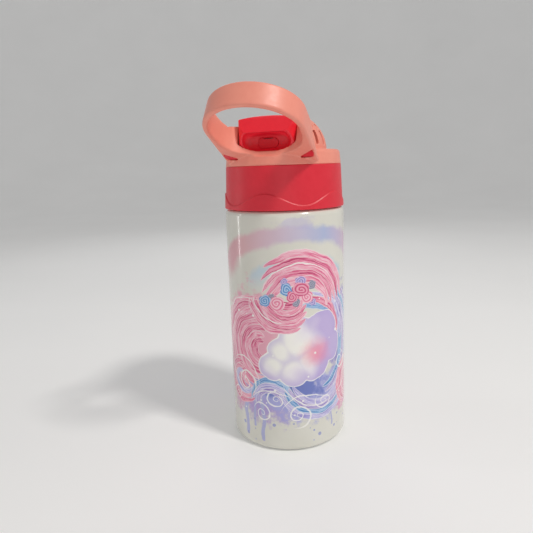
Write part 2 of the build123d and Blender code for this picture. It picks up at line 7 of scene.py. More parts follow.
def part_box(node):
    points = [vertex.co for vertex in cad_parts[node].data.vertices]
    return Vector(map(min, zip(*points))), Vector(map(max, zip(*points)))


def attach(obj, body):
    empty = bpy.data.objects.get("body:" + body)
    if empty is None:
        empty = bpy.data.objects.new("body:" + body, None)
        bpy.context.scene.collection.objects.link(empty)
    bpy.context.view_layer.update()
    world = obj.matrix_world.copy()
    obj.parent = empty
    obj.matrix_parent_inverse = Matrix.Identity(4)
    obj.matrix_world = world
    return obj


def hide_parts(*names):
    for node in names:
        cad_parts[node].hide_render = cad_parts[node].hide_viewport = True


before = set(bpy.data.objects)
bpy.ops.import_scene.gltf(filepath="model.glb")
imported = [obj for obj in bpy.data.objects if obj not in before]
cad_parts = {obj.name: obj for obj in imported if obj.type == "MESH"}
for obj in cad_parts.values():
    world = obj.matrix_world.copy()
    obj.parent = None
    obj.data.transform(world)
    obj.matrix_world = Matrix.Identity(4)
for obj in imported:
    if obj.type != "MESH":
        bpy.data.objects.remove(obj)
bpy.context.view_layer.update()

# Kids water bottle: gloss steel body with a pastel print, red screw lid, salmon carry loop and
# a flip-up spout. Metres, +Z up, the carry loop leans towards -Y.

mm = 0.001

# ---- sizes, from the frame -------------------------------------------------------------------
shell_low, shell_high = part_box("outer_shell")
insert_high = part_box("cap_insert")[1]
hair = 0.001 * mm                     # points closer than this are one point
weld_gap = 0.05 * mm                  # between pieces that are joined in the real bottle

# steel body
body_radius = shell_high.x
lip = shell_high.z                    # top of the neck
neck_radius = body_radius - 7.0 * mm
rim = lip - 16.0 * mm                 # shoulder that the lid closes on
wall = 0.6 * mm
foot_turn = 3.6 * mm                  # the shell's foot turns in by this much
body_round = 3.0 * mm                 # at the foot and the shoulder
neck_round = 1.5 * mm
lip_round = 0.15 * mm
thread_lead = 6.0 * mm
thread_turns = 0.9
thread_height = 1.1 * mm
thread_sink = 0.3 * mm                # how deep a ridge's root lies in the neck
thread_start = 4.6 * mm               # above the rim
thread_root = 0.75 * mm               # half-widths of a ridge
thread_crest = 0.25 * mm

# lid
skirt_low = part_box("cap_shell")[0].z
skirt_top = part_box("handle_collar")[0].z      # the handle's collar sits here
skirt_foot_radius = body_radius - 0.6 * mm
skirt_top_radius = skirt_foot_radius - 1.0 * mm
skirt_face = skirt_top_radius - 0.1 * mm      # all that is further out is the skirt's face
skirt_rings = 130
foot_height = 0.35 * mm               # rounded edge at the skirt's foot
foot_curve = 0.5 * mm
crown_chamfer = 0.25 * mm
boss_radius = skirt_top_radius - 4.2 * mm
boss_wall = 2.0 * mm
boss_sink = 1.0 * mm                  # how far the boss reaches down behind the skirt
insert_radius = insert_high.x
insert_top = insert_high.z
deck = rim + 26.5 * mm                # floor under the spout
deck_thickness = 1.8 * mm
deck_round = 0.8 * mm
deck_fillet = 0.5 * mm                # inside, under the deck
hole_depth = 12 * mm
deck_holes = {                        # radius and place of the drinking port and the vent
    "port": (5.25 * mm, 0, 6 * mm),
    "vent": (3.25 * mm, 9 * mm, -14 * mm),
}
catch_turn = 37                       # degrees from the front to each snap catch
catch_half_width = 3.2 * mm
catch_start = boss_radius + 0.3 * mm

# finger scoop in the spout's face, in mm; the spout's red is darkened there with painted shade
scoop_height = rim / mm + 34.6        # its middle
scoop_reach = 13.4                    # half-width
scoop_rise = 5.4                      # half-height
scoop_back = -26.0                    # all of it lies in front of this

# wavy band round the skirt's foot
wave_count = 5
wave_middle = 5.7 * mm
wave_height = 3.2 * mm
wave_relief = 0.55 * mm
wave_phase = radians(-20.2)
wave_ledge = 0.34 * mm                # height over which the band steps out

front = radians(15.5)                 # the print faces this way, from -Y


# ---- meshes ----------------------------------------------------------------------------------

def piece(name, bm):
    """Object made of a finished bmesh, smooth between its sharp edges."""
    mesh = bpy.data.meshes.new(name)
    bm.to_mesh(mesh)
    bm.free()
    obj = bpy.data.objects.new(name, mesh)
    bpy.context.scene.collection.objects.link(obj)
    mesh.shade_smooth()
    return obj


def profile(corners):
    """Closed outline in the XZ plane: corners are (radius, height, rounding)."""
    bm = bmesh.new()
    points = [bm.verts.new((x, 0, z)) for x, z, _ in corners]
    for start, end in zip(points, points[1:] + points[:1]):
        bm.edges.new((start, end))
    for point, (_, _, rounding) in zip(points, corners):
        if rounding:
            bmesh.ops.bevel(
                bm, geom=[point], offset=rounding, offset_type="OFFSET", segments=8,
                profile=0.5, affect="VERTICES", material=-1,
            )
    return bm


def spun(bm, steps):
    """Turns a closed outline into a closed solid round Z."""
    bmesh.ops.spin(
        bm, geom=bm.verts[:] + bm.edges[:], cent=(0, 0, 0), axis=(0, 0, 1), dvec=(0, 0, 0),
        angle=2 * pi, steps=steps, use_merge=True,
    )
    bmesh.ops.remove_doubles(bm, verts=bm.verts, dist=hair)
    bmesh.ops.recalc_face_normals(bm, faces=bm.faces)
    return bm


def sharpen(obj, angle):
    """Keeps edges sharper than this angle crisp."""
    obj.data.set_sharp_from_angle(angle=radians(angle))
    return obj


def applied(obj):
    """The piece with its modifiers made part of its mesh."""
    depsgraph = bpy.context.evaluated_depsgraph_get()
    mesh = bpy.data.meshes.new_from_object(obj.evaluated_get(depsgraph))
    obj.modifiers.clear()
    obj.data = mesh
    mesh.shade_smooth()
    return obj


def merged_copy(*nodes):
    """One closed mesh from copies of CAD nodes."""
    bm = bmesh.new()
    for node in nodes:
        bm.from_mesh(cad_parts[node].data)
    bmesh.ops.remove_doubles(bm, verts=bm.verts, dist=hair)
    return bm


def moulded(obj, grain, passes, kept):
    """Softens every edge and inner corner as a mould does, then drops the spare faces."""
    remesh = obj.modifiers.new("remesh", "REMESH")
    remesh.mode = "VOXEL"
    remesh.voxel_size = grain
    smooth = obj.modifiers.new("smooth", "SMOOTH")
    smooth.factor = 0.5
    smooth.iterations = passes
    thin = obj.modifiers.new("thin", "DECIMATE")
    thin.ratio = kept
    return applied(obj)


# ---- steel body ------------------------------------------------------------------------------

def make_thread(start_angle):
    """One helical ridge round the neck."""
    steps = 120
    root = neck_radius - thread_sink
    crest = neck_radius + thread_height
    middle = rim + thread_start
    section = [(root, -thread_root), (crest, -thread_crest), (crest, thread_crest), (root, thread_root)]
    bm = bmesh.new()
    points = [bm.verts.new((x, 0, middle + z)) for x, z in section]
    face = bm.faces.new(points)
    bmesh.ops.rotate(bm, verts=points, cent=(0, 0, 0), matrix=Matrix.Rotation(start_angle, 3, "Z"))
    bmesh.ops.spin(
        bm, geom=[face], cent=(0, 0, 0), axis=(0, 0, 1),
        dvec=(0, 0, thread_lead * thread_turns / steps), angle=2 * pi * thread_turns, steps=steps,
    )
    bmesh.ops.recalc_face_normals(bm, faces=bm.faces)
    return bm


def make_threads():
    """Both ridges of the two-start thread."""
    return [sharpen(piece(f"neck_thread_{i + 1}", make_thread(pi * i)), angle=30) for i in range(2)]


def make_body():
    """Straight shell with its shoulder and neck."""
    low = shell_low.z
    bm = profile([
        (body_radius - foot_turn, low, 0),
        (body_radius, low, body_round),
        (body_radius, rim, body_round),
        (neck_radius, rim, neck_round),
        (neck_radius, lip, lip_round),
        (neck_radius - wall, lip, lip_round),
        (neck_radius - wall, rim - wall, neck_round + wall),
        (body_radius - wall, rim - wall, body_round - wall),
        (body_radius - wall, low + wall, body_round - wall),
        (body_radius - foot_turn, low + wall, 0),
    ])
    spun(bm, steps=240)
    return sharpen(piece("printed_body", bm), angle=40)


# ---- lid -------------------------------------------------------------------------------------

def make_skirt():
    """Drafted skirt with the raised wavy band round its foot."""
    bm = profile([
        (skirt_foot_radius, skirt_low, 0),
        (skirt_top_radius, skirt_top, 0),
        (boss_radius - boss_wall, skirt_top, 0),
        (boss_radius - boss_wall, insert_top + weld_gap, 0),
        (insert_radius + weld_gap, insert_top + weld_gap, 0),
        (insert_radius + weld_gap, skirt_low, 0),
    ])
    outside = [e for e in bm.edges if min(v.co.x for v in e.verts) > skirt_face]
    bmesh.ops.subdivide_edges(bm, edges=outside, cuts=skirt_rings)
    spun(bm, steps=360)
    for vert in bm.verts:
        radius = vert.co.xy.length
        if radius < skirt_face:
            continue
        turn = atan2(vert.co.y, vert.co.x) - wave_phase
        edge = rim + wave_middle + wave_height * cos(wave_count * turn)
        rise = min(max((edge - vert.co.z) / wave_ledge + 0.5, 0.0), 1.0)
        step = wave_relief * rise * rise * (3 - 2 * rise)
        foot = foot_height - min(vert.co.z - skirt_low, foot_height)
        crown = crown_chamfer - min(skirt_top - vert.co.z, crown_chamfer)
        grown = (radius + step - foot * foot / foot_curve - crown) / radius
        vert.co.x *= grown
        vert.co.y *= grown
    return sharpen(piece("lid_skirt", bm), angle=60)


def make_deck():
    """Boss and floor under the spout, open at the drinking port and the vent."""
    bm = profile([
        (boss_radius, skirt_top - boss_sink, 0),
        (boss_radius, deck, deck_round),
        (0, deck, 0),
        (0, deck - deck_thickness, 0),
        (boss_radius - boss_wall, deck - deck_thickness, deck_fillet),
        (boss_radius - boss_wall, skirt_top - boss_sink, 0),
    ])
    spun(bm, steps=128)
    lid_deck = piece("lid_deck", bm)
    for name, (radius, x, y) in deck_holes.items():
        hole = bmesh.new()
        bmesh.ops.create_cone(
            hole, cap_ends=True, segments=64, radius1=radius, radius2=radius, depth=hole_depth,
            matrix=Matrix.Translation((x, y, deck)),
        )
        cutter = piece(name, hole)
        cut = lid_deck.modifiers.new(name, "BOOLEAN")
        cut.object = cutter
        cut.solver = "EXACT"
        applied(lid_deck)
        bpy.data.objects.remove(cutter)
    return sharpen(lid_deck, angle=35)


def make_catch(side):
    """Red snap catch that fills one triangular window of the collar."""
    bm = merged_copy("cap_shell")
    window = radians(side * catch_turn)
    along = Vector((sin(window), -cos(window), 0))
    across = Vector((cos(window), sin(window), 0))
    for plane, normal in (
        (along * catch_start, -along),
        (across * catch_half_width, across),
        (across * -catch_half_width, -across),
        (Vector((0, 0, deck + weld_gap)), Vector((0, 0, -1))),
    ):
        geometry = bm.verts[:] + bm.edges[:] + bm.faces[:]
        bmesh.ops.bisect_plane(
            bm, geom=geometry, dist=0.1 * hair, plane_co=plane, plane_no=normal, clear_outer=True,
        )
    bmesh.ops.holes_fill(bm, edges=[e for e in bm.edges if e.is_boundary])
    bmesh.ops.recalc_face_normals(bm, faces=bm.faces)
    return sharpen(piece("snap_catch_left" if side < 0 else "snap_catch_right", bm), angle=30)


def make_handle():
    """Collar, carry loop, cheeks and slotted hinge guard in one moulding."""
    handle = piece("carry_handle", merged_copy("handle_collar"))
    return moulded(handle, grain=0.30 * mm, passes=11, kept=0.45)


def make_spout():
    """Both halves of the spout as the one moulding that they are welded into."""
    block = piece("spout_block", merged_copy("spout_shell", "spout_base"))
    return moulded(block, grain=0.30 * mm, passes=7, kept=0.5)


# ---- material graphs -------------------------------------------------------------------------

class Graph:
    """Short calls for building a node tree."""

    def __init__(self, tree):
        self.tree = tree

    def add(self, kind, inputs=(), **settings):
        made = self.tree.nodes.new(kind)
        for name, value in settings.items():
            setattr(made, name, value)
        for key, value in dict(inputs).items():
            self.feed(made.inputs[key], value)
        return made

    def feed(self, socket, value):
        if isinstance(value, bpy.types.NodeSocket):
            self.tree.links.new(value, socket)
        else:
            socket.default_value = value

    def math(self, operation, *values, clamp=False):
        made = self.add("ShaderNodeMath", enumerate(values), operation=operation, use_clamp=clamp)
        return made.outputs[0]

    def vector(self, operation, *values):
        made = self.add("ShaderNodeVectorMath", enumerate(values), operation=operation)
        return made.outputs["Value" if operation in ("LENGTH", "DISTANCE") else "Vector"]

    def scaled(self, vector, amount):
        inputs = {0: vector, "Scale": amount}
        return self.add("ShaderNodeVectorMath", inputs, operation="SCALE").outputs["Vector"]

    def xyz(self, x, y, z=0.0):
        return self.add("ShaderNodeCombineXYZ", {"X": x, "Y": y, "Z": z}).outputs[0]

    def after(self, point, colour):
        """The same point, but worked out only once the colour under it is known."""
        return self.vector("MULTIPLY_ADD", colour, (0, 0, 0), point)

    def split(self, vector):
        return self.add("ShaderNodeSeparateXYZ", {0: vector}).outputs

    def step(self, value, low, high):
        """0 below low to 1 above high, smoothly."""
        inputs = {"Value": value, "From Min": low, "From Max": high}
        return self.add("ShaderNodeMapRange", inputs, interpolation_type="SMOOTHSTEP").outputs[0]

    def fade(self, value, low, high):
        """1 below low to 0 above high, smoothly."""
        return self.math("SUBTRACT", 1.0, self.step(value, low, high))

    def scale(self, value, low, high, new_low, new_high):
        inputs = {
            "Value": value, "From Min": low, "From Max": high, "To Min": new_low, "To Max": new_high,
        }
        return self.add("ShaderNodeMapRange", inputs).outputs[0]

    def spread(self, noise, new_low, new_high):
        """Stretches noise, which seldom leaves 0.3 to 0.7, over a range."""
        return self.scale(noise, 0.3, 0.7, new_low, new_high)

    def mix(self, factor, first, second):
        colours = {0: factor, 6: first, 7: second}
        return self.add("ShaderNodeMix", colours, data_type="RGBA").outputs[2]

    def noise(self, vector, scale, detail=2.0, roughness=0.5, distortion=0.0):
        inputs = {
            "Vector": vector, "Scale": scale, "Detail": detail, "Roughness": roughness,
            "Distortion": distortion,
        }
        return self.add("ShaderNodeTexNoise", inputs).outputs

    def ramp(self, factor, *stops):
        made = self.add("ShaderNodeValToRGB", {0: factor})
        elements = made.color_ramp.elements
        while len(elements) < len(stops):
            elements.new(0.5)
        for element, (place, colour) in zip(elements, stops):
            element.position = place
            element.color = colour
        return made.outputs[0]

    def bump(self, height, strength, distance):
        inputs = {"Height": height, "Strength": strength, "Distance": distance}
        return self.add("ShaderNodeBump", inputs).outputs[0]

    def use(self, group, **inputs):
        made = self.tree.nodes.new("ShaderNodeGroup")
        made.node_tree = group
        for name, value in inputs.items():
            self.feed(made.inputs[name.replace("_", " ")], value)
        return made.outputs

    def dress(self, skin):
        """Feeds a skin's colour, roughness and normal to the shader."""
        for label, output in (("Base Color", "Color"), ("Roughness", "Roughness"), ("Normal", "Normal")):
            self.feed(self.shader[label], skin[output])


def tone(red, green, blue):
    """Screen colour, 0 to 255, as the linear colour that materials use."""
    shares = [c / 255 for c in (red, green, blue)]
    linear = [c / 12.92 if c < 0.04045 else ((c + 0.055) / 1.055) ** 2.4 for c in shares]
    return (*linear, 1.0)


def effect(name, inputs, outputs):
    """Empty node group: inputs and outputs are names with a kind, Float, Vector or Color."""
    group = bpy.data.node_groups.new(name, "ShaderNodeTree")
    for direction, sockets in (("INPUT", inputs), ("OUTPUT", outputs)):
        for label, kind in sockets.items():
            group.interface.new_socket(label, in_out=direction, socket_type="NodeSocket" + kind)
    graph = Graph(group)
    start = group.nodes.new("NodeGroupInput")
    end = group.nodes.new("NodeGroupOutput")
    return group, graph, start.outputs, end.inputs


def material(name, **constants):
    """Material with a Principled shader, and its graph. Constants go on the shader's own sockets."""
    made = bpy.data.materials.new(name)
    made.use_nodes = True
    shader = made.node_tree.nodes["Principled BSDF"]
    for label, value in constants.items():
        shader.inputs[label.replace("_", " ")].default_value = value
    graph = Graph(made.node_tree)
    graph.shader = shader.inputs
    graph.place = graph.scaled(graph.add("ShaderNodeTexCoord").outputs["Object"], 1 / mm)
    return made, graph


# ---- effects used by several materials -------------------------------------------------------

def make_moulding_effect():
    """Moulded plastic: faint flow marks, fine spark-eroded grain, and dust-dulled patches."""
    group, g, start, end = effect(
        "moulded_plastic",
        {"Point": "Vector", "Tint": "Color", "Shade": "Color", "Gloss": "Float", "Grain": "Float"},
        {"Color": "Color", "Roughness": "Float", "Normal": "Vector"},
    )
    flow = g.noise(start["Point"], 0.045, 3.0, 0.55, 0.8)["Fac"]
    cloud = g.noise(start["Point"], 0.4, 4.0, 0.6)["Fac"]
    blend = g.math("ADD", g.spread(flow, 0, 0.75), g.scale(cloud, 0.35, 0.7, 0, 0.25), clamp=True)
    g.feed(end["Color"], g.mix(blend, start["Shade"], start["Tint"]))
    dull = g.spread(cloud, -0.05, 0.07)
    g.feed(end["Roughness"], g.math("ADD", start["Gloss"], dull, clamp=True))
    grain = g.noise(start["Point"], 5.5, 2.0, 0.6)["Fac"]
    ripple = g.noise(start["Point"], 0.22, 1.0)["Fac"]
    height = g.math("ADD", g.math("MULTIPLY", grain, start["Grain"]), g.math("MULTIPLY", ripple, 0.35))
    g.feed(end["Normal"], g.bump(height, 0.35, 0.06 * mm))
    return group


def make_brushing_effect():
    """Brushed or turned steel: fine streaks along X of the point that it is given."""
    group, g, start, end = effect(
        "brushed_steel",
        {"Point": "Vector", "Tint": "Color", "Gloss": "Float", "Depth": "Float"},
        {"Color": "Color", "Roughness": "Float", "Normal": "Vector"},
    )
    streaks = g.noise(g.vector("MULTIPLY", start["Point"], (0.05, 4.5, 4.5)), 1.0, 4.0, 0.7)["Fac"]
    smudge = g.noise(start["Point"], 0.09, 3.0)["Fac"]
    g.feed(end["Color"], g.mix(g.spread(streaks, 0, 0.5), start["Tint"], (0.32, 0.31, 0.3, 1)))
    change = g.math("ADD", g.spread(streaks, -0.08, 0.1), g.scale(smudge, 0.35, 0.7, -0.04, 0.1))
    g.feed(end["Roughness"], g.math("ADD", start["Gloss"], change, clamp=True))
    g.feed(end["Normal"], g.bump(streaks, start["Depth"], 0.03 * mm))
    return group


moulding = make_moulding_effect()
brushing = make_brushing_effect()
neck_tint = (0.62, 0.61, 0.59, 1)
streak_turn = 30.0                    # a turn about Z becomes about its length in mm


def plastic(name, tint, shade, gloss, grain, **constants):
    """Moulded plastic or silicone, between a tint and a shade."""
    made, g = material(name, **constants)
    skin = g.use(moulding, Point=g.place, Tint=tint, Shade=shade, Gloss=gloss, Grain=grain)
    g.dress(skin)
    return made


def steel(name, tint, gloss, depth, around):
    """Brushed round Z, or straight along X."""
    made, g = material(name, Metallic=1.0)
    point = g.place
    if around:
        x, y, z = g.split(point)
        turn = g.math("MULTIPLY", g.math("ARCTAN2", y, x), streak_turn)
        point = g.xyz(turn, g.vector("LENGTH", g.xyz(x, y)), z)
    skin = g.use(brushing, Point=point, Tint=tint, Gloss=gloss, Depth=depth)
    g.dress(skin)
    return made


def spout_plastic():
    """Bright red, darkened to crimson with painted shade in the finger scoop under the brow."""
    made, g = material("bright_red_spout_plastic")
    x, y, z = g.split(g.place)
    rise = g.math("DIVIDE", g.math("SUBTRACT", z, scoop_height), scoop_rise)
    reach = g.vector("LENGTH", g.xyz(g.math("DIVIDE", x, scoop_reach), rise))
    within = g.fade(reach, 0.78, 1.0)
    ahead = g.fade(y, scoop_back - 1.0, scoop_back)
    scoop_shade = g.math("MULTIPLY", within, ahead)
    # the darker reds mixed in over the scoop's mask are painted shade of the recess under the brow
    tint = g.mix(scoop_shade, tone(254, 46, 64), tone(228, 12, 40))
    shade = g.mix(scoop_shade, tone(244, 34, 54), tone(208, 6, 32))
    skin = g.use(moulding, Point=g.place, Tint=tint, Shade=shade, Gloss=0.34, Grain=0.35)
    g.dress(skin)
    return made


# ---- the print -------------------------------------------------------------------------------

def make_lock_effect():
    """A curved lock of brush strands on an arc round a centre, tapered to both ends."""
    group, g, start, end = effect(
        "brush_lock",
        {"Point": "Vector", "Centre": "Vector", "Radius": "Float", "Width": "Float",
         "Middle": "Float", "Span": "Float", "Twist": "Float"},
        {"Mask": "Float", "Strand": "Float", "Outline": "Float"},
    )
    arm = g.vector("SUBTRACT", start["Point"], start["Centre"])
    x, y, _ = g.split(arm)
    turn = g.math("SUBTRACT", g.math("ARCTAN2", y, x), start["Middle"])
    turn = g.math("WRAP", turn, pi, -pi)
    along = g.math("DIVIDE", turn, start["Span"])
    middle = g.math("MULTIPLY_ADD", start["Twist"], along, start["Radius"])
    off = g.math("SUBTRACT", g.vector("LENGTH", arm), middle)
    taper = g.math("SUBTRACT", 1.0, g.math("MULTIPLY", along, along), clamp=True)
    half = g.math("MULTIPLY", g.math("SQRT", taper), start["Width"])
    room = g.math("SUBTRACT", half, g.math("ABSOLUTE", off))
    g.feed(end["Mask"], g.step(room, 0.0, 0.25))
    g.feed(end["Outline"], g.fade(room, 0.15, 0.6))
    share = g.math("DIVIDE", off, g.math("ADD", half, 0.4))
    swept = g.xyz(share, g.math("MULTIPLY", along, 0.35), start["Radius"])
    g.feed(end["Strand"], g.noise(swept, 5.0, 2.0, 0.6, 0.2)["Fac"])
    return group


def make_wisp_effect():
    """One thin line on an arc round a centre, pointed at both ends."""
    group, g, start, end = effect(
        "wisp",
        {"Point": "Vector", "Centre": "Vector", "Radius": "Float", "Middle": "Float", "Span": "Float"},
        {"Mask": "Float"},
    )
    arm = g.vector("SUBTRACT", start["Point"], start["Centre"])
    x, y, _ = g.split(arm)
    turn = g.math("SUBTRACT", g.math("ARCTAN2", y, x), start["Middle"])
    along = g.math("DIVIDE", g.math("WRAP", turn, pi, -pi), start["Span"])
    off = g.math("ABSOLUTE", g.math("SUBTRACT", g.vector("LENGTH", arm), start["Radius"]))
    taper = g.math("SUBTRACT", 1.0, g.math("MULTIPLY", along, along), clamp=True)
    room = g.math("SUBTRACT", g.math("MULTIPLY", taper, 0.42), off)
    g.feed(end["Mask"], g.step(room, 0.0, 0.16))
    return group


def make_curl_effect():
    """A thin spiral line of about two and a half turns."""
    windings = 2.6
    group, g, start, end = effect(
        "curl",
        {"Point": "Vector", "Centre": "Vector", "Size": "Float", "Hand": "Float", "Phase": "Float"},
        {"Mask": "Float"},
    )
    arm = g.vector("SUBTRACT", start["Point"], start["Centre"])
    x, y, _ = g.split(arm)
    reach = g.math("DIVIDE", g.vector("LENGTH", arm), start["Size"])
    turn = g.math("MULTIPLY_ADD", g.math("ARCTAN2", y, x), start["Hand"], start["Phase"])
    wound = g.math("MULTIPLY_ADD", g.math("SQRT", reach), windings, g.math("DIVIDE", turn, 2 * pi))
    line = g.math("ABSOLUTE", g.math("SUBTRACT", g.math("FRACT", wound), 0.5))
    thin = g.fade(line, 0.055, 0.12)
    inside = g.fade(reach, 0.94, 1.0)
    g.feed(end["Mask"], g.math("MULTIPLY", g.math("MULTIPLY", thin, inside), g.step(reach, 0.02, 0.08)))
    return group


def make_rose_effect():
    """A small painted rose: round petals wound about its heart."""
    petal_count = 5
    ruffle_count = 3
    windings = 2.7
    group, g, start, end = effect(
        "rose",
        {"Point": "Vector", "Centre": "Vector", "Size": "Float", "Phase": "Float"},
        {"Mask": "Float", "Petal": "Float"},
    )
    arm = g.vector("SUBTRACT", start["Point"], start["Centre"])
    x, y, _ = g.split(arm)
    turn = g.math("ADD", g.math("ARCTAN2", y, x), start["Phase"])
    reach = g.math("DIVIDE", g.vector("LENGTH", arm), start["Size"])
    lobe = g.math("ABSOLUTE", g.math("SINE", g.math("MULTIPLY", turn, petal_count / 2)))
    lobes = g.math("MULTIPLY", lobe, 0.16)
    g.feed(end["Mask"], g.fade(g.math("SUBTRACT", reach, lobes), 0.8, 0.86))
    swirl = g.math("MULTIPLY_ADD", reach, windings, g.math("DIVIDE", turn, 2 * pi))
    ruffle = g.math("MULTIPLY", g.math("SINE", g.math("MULTIPLY", turn, ruffle_count)), 0.09)
    g.feed(end["Petal"], g.math("FRACT", g.math("ADD", swirl, ruffle)))
    return group


white_ink = tone(250, 248, 244)
lock_effect = make_lock_effect()
curl_effect = make_curl_effect()
wisp_effect = make_wisp_effect()
rose_effect = make_rose_effect()

# inks of a lock or a rose, from the deepest to the palest
magenta_inks = (tone(176, 34, 92), tone(226, 92, 140), tone(247, 188, 206))
pink_inks = (tone(214, 78, 128), tone(240, 138, 170), tone(252, 216, 226))
violet_inks = (tone(108, 84, 170), tone(160, 142, 208), tone(222, 212, 240))
blue_inks = (tone(44, 104, 178), tone(96, 156, 214), tone(196, 216, 242))
lilac_inks = (tone(136, 130, 204), tone(176, 170, 226), tone(232, 226, 246))
leaf_inks = (tone(96, 100, 118), tone(136, 138, 158), tone(182, 180, 204))


lock_turn = 5                         # degrees by which each lock of a sweep is turned on
lock_growth = 6                       # and by which its half span grows


def fan(x, y, radius, gap, count, width, middle, span, twist, *inks):
    """A sweep of locks, side by side round one centre, from the outermost inwards.

    Lengths are in mm. The locks' middle and half span are in degrees.
    """
    return [
        (
            x, y, radius - i * gap, width, middle + lock_turn * i, span + lock_growth * i, twist,
            inks[i % len(inks)],
        )
        for i in range(count)
    ]


def paint_wisps(g, colour, point, wisps):
    """Lays thin white lines on the colour."""
    for x, y, radius, middle, span in wisps:
        wisp = g.use(
            wisp_effect, Point=g.after(point, colour), Centre=(x, y, 0), Radius=radius,
            Middle=radians(middle), Span=radians(span),
        )
        colour = g.mix(g.math("MULTIPLY", wisp["Mask"], 0.9), colour, white_ink)
    return colour


def paint_locks(g, colour, point, locks):
    """Lays a row of locks on the colour, each over the last."""
    for x, y, radius, width, middle, span, twist, inks in locks:
        lock = g.use(
            lock_effect, Point=g.after(point, colour), Centre=(x, y, 0), Radius=radius, Width=width,
            Middle=radians(middle), Span=radians(span), Twist=twist,
        )
        deep, base, pale = inks
        strands = g.ramp(
            lock["Strand"], (0.32, deep), (0.45, base), (0.56, pale), (0.64, base), (0.72, pale),
        )
        strands = g.mix(g.math("MULTIPLY", lock["Outline"], 0.7), strands, white_ink)
        colour = g.mix(lock["Mask"], colour, strands)
    return colour


def paint_curls(g, colour, point, curls):
    """Lays white spirals on the colour."""
    for x, y, size, hand, phase in curls:
        curl = g.use(
            curl_effect, Point=g.after(point, colour), Centre=(x, y, 0), Size=size, Hand=hand,
            Phase=phase,
        )
        colour = g.mix(g.math("MULTIPLY", curl["Mask"], 0.85), colour, white_ink)
    return colour


def paint_roses(g, colour, point, roses):
    """Lays small roses on the colour, each over the last."""
    for x, y, size, phase, inks in roses:
        rose = g.use(rose_effect, Point=g.after(point, colour), Centre=(x, y, 0), Size=size, Phase=phase)
        deep, base, pale = inks
        petals = g.ramp(rose["Petal"], (0.0, deep), (0.16, base), (0.6, pale), (0.92, base), (1.0, deep))
        colour = g.mix(rose["Mask"], colour, petals)
    return colour


def paint_cloud(g, colour, point, lumps, lit):
    """A pale heaped cloud with a white edge, whitest round the lit place and violet away from it."""
    point = g.after(point, colour)
    nearest = None
    for x, y, radius in lumps:
        room = g.math("SUBTRACT", radius, g.vector("DISTANCE", point, (x, y, 0)))
        nearest = room if nearest is None else g.math("SMOOTH_MAX", nearest, room, 1.5)
    mask = g.step(nearest, 0.0, 0.3)
    drift = g.spread(g.noise(point, 0.06, 1.0)["Fac"], -5.0, 5.0)
    far_off = g.math("ADD", g.vector("DISTANCE", point, (*lit, 0)), drift)
    away_share = g.scale(far_off, 5.0, 27.0, 0.0, 1.0)
    inner = g.ramp(
        away_share, (0.1, tone(250, 248, 242)), (0.45, tone(240, 234, 242)), (0.95, tone(196, 178, 226)),
    )
    rim_light = g.fade(nearest, 0.3, 0.75)
    shade = g.math("MULTIPLY", g.step(nearest, 0.4, 1.0), g.fade(nearest, 1.0, 5.5))
    inner = g.mix(g.math("MULTIPLY", shade, 0.45), inner, tone(184, 166, 222))
    inner = g.mix(rim_light, inner, white_ink)
    return g.mix(mask, colour, inner)


def paint_spots(g, colour, point, scale, size, low, high, ink, strength):
    """Scattered round spots of mixed size between two heights."""
    point = g.after(point, colour)
    made = g.add("ShaderNodeTexVoronoi", {"Vector": point, "Scale": scale, "Randomness": 1.0})
    picked = g.add("ShaderNodeSeparateColor", {0: made.outputs["Color"]}).outputs
    limit = g.math("MULTIPLY", g.math("POWER", picked[0], 2.2), size)
    spot = g.fade(g.math("SUBTRACT", made.outputs["Distance"], limit), 0.0, 0.06)
    spot = g.math("MULTIPLY", spot, g.step(picked[1], 0.35, 0.36))
    height = g.split(point)[1]
    band = g.math("MULTIPLY", g.step(height, low, low + 4), g.fade(height, high - 4, high))
    return g.mix(g.math("MULTIPLY", g.math("MULTIPLY", spot, band), strength), colour, ink)


def paint_wash(g, colour, point, centre, size, ink, strength, soft=0.5, ragged=0.35):
    """A watercolour pool: an ellipse with a mottled, feathered edge."""
    point = g.after(point, colour)
    arm = g.vector("DIVIDE", g.vector("SUBTRACT", point, (*centre, 0)), (*size, 1))
    feather = g.noise(point, 0.16, 4.0, 0.62)["Fac"]
    reach = g.math("ADD", g.vector("LENGTH", arm), g.spread(feather, -ragged, ragged))
    mask = g.fade(reach, 1.0 - soft, 1.0)
    return g.mix(g.math("MULTIPLY", mask, strength), colour, ink)


def paint_drips(g, colour, point, drips, ink):
    """Round-ended runs of paint below the wash."""
    for x, low, high, width in drips:
        spot = g.after(point, colour)
        axis = g.xyz(x, g.math("MAXIMUM", g.math("MINIMUM", g.split(spot)[1], high), low))
        reach = g.vector("DISTANCE", spot, axis)
        colour = g.mix(g.fade(reach, width - 0.3, width), colour, ink)
    return colour


def paint_arch(g, colour, point, centre, size, inner, outer, stops, strength):
    """Rainbow band on a flattened arch, its colour changing from left to right."""
    point = g.after(point, colour)
    arm = g.vector("DIVIDE", g.vector("SUBTRACT", point, (*centre, 0)), (*size, 1))
    x, y, _ = g.split(arm)
    feather = g.noise(point, 0.13, 3.0, 0.6)["Fac"]
    reach = g.math("ADD", g.vector("LENGTH", arm), g.spread(feather, -0.025, 0.025))
    band = g.math(
        "MULTIPLY", g.step(reach, inner - 0.06, inner + 0.08), g.fade(reach, outer - 0.07, outer + 0.04),
    )
    above = g.step(y, -0.1, 0.35)
    tint = g.ramp(g.scale(x, -1, 1, 0, 1), *stops)
    return g.mix(g.math("MULTIPLY", g.math("MULTIPLY", band, above), strength), colour, tint)


# The design is laid out in mm, round the body from the middle of the print and up from the base.

